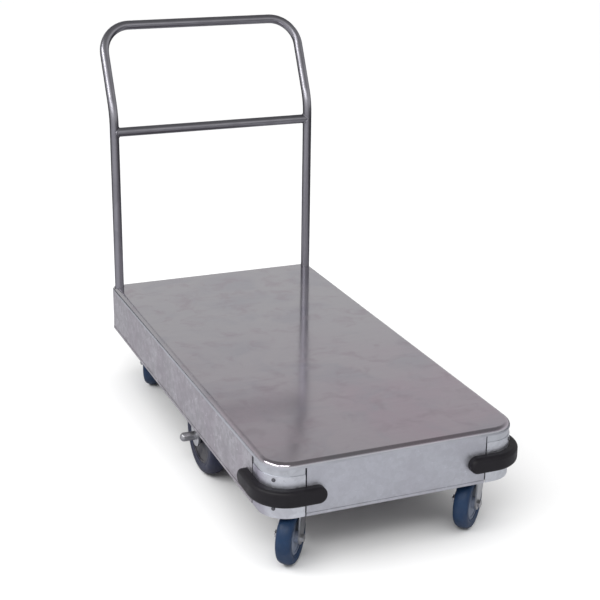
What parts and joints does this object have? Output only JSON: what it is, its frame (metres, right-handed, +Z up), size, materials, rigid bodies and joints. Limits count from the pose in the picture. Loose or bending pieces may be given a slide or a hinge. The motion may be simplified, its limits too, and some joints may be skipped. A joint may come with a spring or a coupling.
{
  "type": "platform cart",
  "caption": "Sheet-steel platform cart with a smooth flat deck, plug-in tube push handle, rubber corner bumpers, swivel casters and larger fixed centre wheels.",
  "frame": {"origin": "middle of the whole cart's bounding box, on the floor", "axes": "+Z up from the floor; +Y along the cart's length towards the push handle, -Y towards the bumpers; +X to the right of someone who stands behind the handle's far end facing +Y"},
  "size_m": [0.67, 1.3806, 0.9955],
  "materials": {
    "deck_steel": "satin sheet with a soft brushed grain",
    "galvanised_steel": "galvanised sheet with a light spangle",
    "frame_steel": "dull galvanised sheet",
    "handle_tube": "polished steel tube",
    "zinc_steel": "bright zinc-plated pressed steel",
    "bright_fastener": "bright zinc",
    "dark_fastener": "blackened",
    "bearing_steel": "polished",
    "bumper_rubber": "smooth black moulding",
    "caster_tyre": "satin dark blue rubber",
    "centre_tyre": "satin dark slate rubber",
    "hub_grey": "matt grey moulding"
  },
  "bodies": {
    "chassis": {"bumper_bolts": "bright_fastener", "bumper_left": "bumper_rubber", "bumper_right": "bumper_rubber", "caster_balls": "bearing_steel", "caster_kingpin_nuts": "bright_fastener", "caster_kingpins": "bright_fastener", "caster_mount_bolts": "bright_fastener", "caster_mount_nuts": "bright_fastener", "centre_axle_cap_left": "bright_fastener", "centre_axle_cap_right": "bright_fastener", "centre_axle_left": "bright_fastener", "centre_axle_right": "bright_fastener", "centre_fork_bolts": "bright_fastener", "centre_fork_left": "zinc_steel", "centre_fork_nuts": "bright_fastener", "centre_fork_right": "zinc_steel", "corner_cover_left": "galvanised_steel", "corner_cover_right": "galvanised_steel", "corner_cover_screws": "dark_fastener", "corner_post_left": "frame_steel", "corner_post_right": "frame_steel", "cross_beam_centre": "frame_steel", "cross_beam_front": "frame_steel", "cross_beam_rear": "frame_steel", "deck_sheet": "deck_steel", "front_left_caster_plate": "zinc_steel", "front_right_caster_plate": "zinc_steel", "front_skirt": "galvanised_steel", "handle_socket_left": "frame_steel", "handle_socket_right": "frame_steel", "rear_left_caster_plate": "zinc_steel", "rear_right_caster_plate": "zinc_steel", "rear_skirt": "galvanised_steel", "side_skirt_left": "galvanised_steel", "side_skirt_right": "galvanised_steel", "stringer_left": "frame_steel", "stringer_right": "frame_steel"},
    "handle": {"handle_hoop": "handle_tube", "handle_crossbar": "handle_tube"},
    "front_left_swivel": {"front_left_caster_fork": "zinc_steel", "front_left_caster_axle": "bright_fastener"},
    "front_left_wheel": {"front_left_caster_hub": "hub_grey", "front_left_caster_tyre": "caster_tyre"},
    "front_right_swivel": {"front_right_caster_fork": "zinc_steel", "front_right_caster_axle": "bright_fastener"},
    "front_right_wheel": {"front_right_caster_hub": "hub_grey", "front_right_caster_tyre": "caster_tyre"},
    "rear_left_swivel": {"rear_left_caster_fork": "zinc_steel", "rear_left_caster_axle": "bright_fastener"},
    "rear_left_wheel": {"rear_left_caster_hub": "hub_grey", "rear_left_caster_tyre": "caster_tyre"},
    "rear_right_swivel": {"rear_right_caster_fork": "zinc_steel", "rear_right_caster_axle": "bright_fastener"},
    "rear_right_wheel": {"rear_right_caster_hub": "hub_grey", "rear_right_caster_tyre": "caster_tyre"},
    "centre_wheel_left": {"centre_hub_left": "hub_grey", "centre_tyre_left": "centre_tyre"},
    "centre_wheel_right": {"centre_hub_right": "hub_grey", "centre_tyre_right": "centre_tyre"}
  },
  "joints": [
    {"name": "handle_lift", "type": "slide", "parent": "chassis", "child": "handle", "axis": [0, 0, 1], "range_m": [0, 0.1]},
    {"name": "front_left_swivel", "type": "hinge", "parent": "chassis", "child": "front_left_swivel", "pos_m": [-0.221, -0.61085, 0.1365], "axis": [0, 0, 1], "continuous": true},
    {"name": "front_right_swivel", "type": "hinge", "parent": "chassis", "child": "front_right_swivel", "pos_m": [0.221, -0.61085, 0.1365], "axis": [0, 0, 1], "continuous": true},
    {"name": "rear_left_swivel", "type": "hinge", "parent": "chassis", "child": "rear_left_swivel", "pos_m": [-0.221, 0.45665, 0.1365], "axis": [0, 0, 1], "continuous": true},
    {"name": "rear_right_swivel", "type": "hinge", "parent": "chassis", "child": "rear_right_swivel", "pos_m": [0.221, 0.45665, 0.1365], "axis": [0, 0, 1], "continuous": true},
    {"name": "front_left_roll", "type": "hinge", "parent": "front_left_swivel", "child": "front_left_wheel", "pos_m": [-0.23771, -0.63077, 0.0625], "axis": [0.766, -0.6428, 0], "continuous": true},
    {"name": "front_right_roll", "type": "hinge", "parent": "front_right_swivel", "child": "front_right_wheel", "pos_m": [0.20198, -0.62858, 0.0625], "axis": [0.682, -0.7314, 0], "continuous": true},
    {"name": "rear_left_roll", "type": "hinge", "parent": "rear_left_swivel", "child": "rear_left_wheel", "pos_m": [-0.23321, 0.43369, 0.0625], "axis": [0.8829, -0.4695, 0], "continuous": true},
    {"name": "rear_right_roll", "type": "hinge", "parent": "rear_right_swivel", "child": "rear_right_wheel", "pos_m": [0.208, 0.43413, 0.0625], "axis": [0.866, -0.5, 0], "continuous": true},
    {"name": "centre_roll_left", "type": "hinge", "parent": "chassis", "child": "centre_wheel_left", "pos_m": [-0.265, -0.14735, 0.1], "axis": [1, 0, 0], "continuous": true},
    {"name": "centre_roll_right", "type": "hinge", "parent": "chassis", "child": "centre_wheel_right", "pos_m": [0.265, -0.14735, 0.1], "axis": [1, 0, 0], "continuous": true}
  ]
}
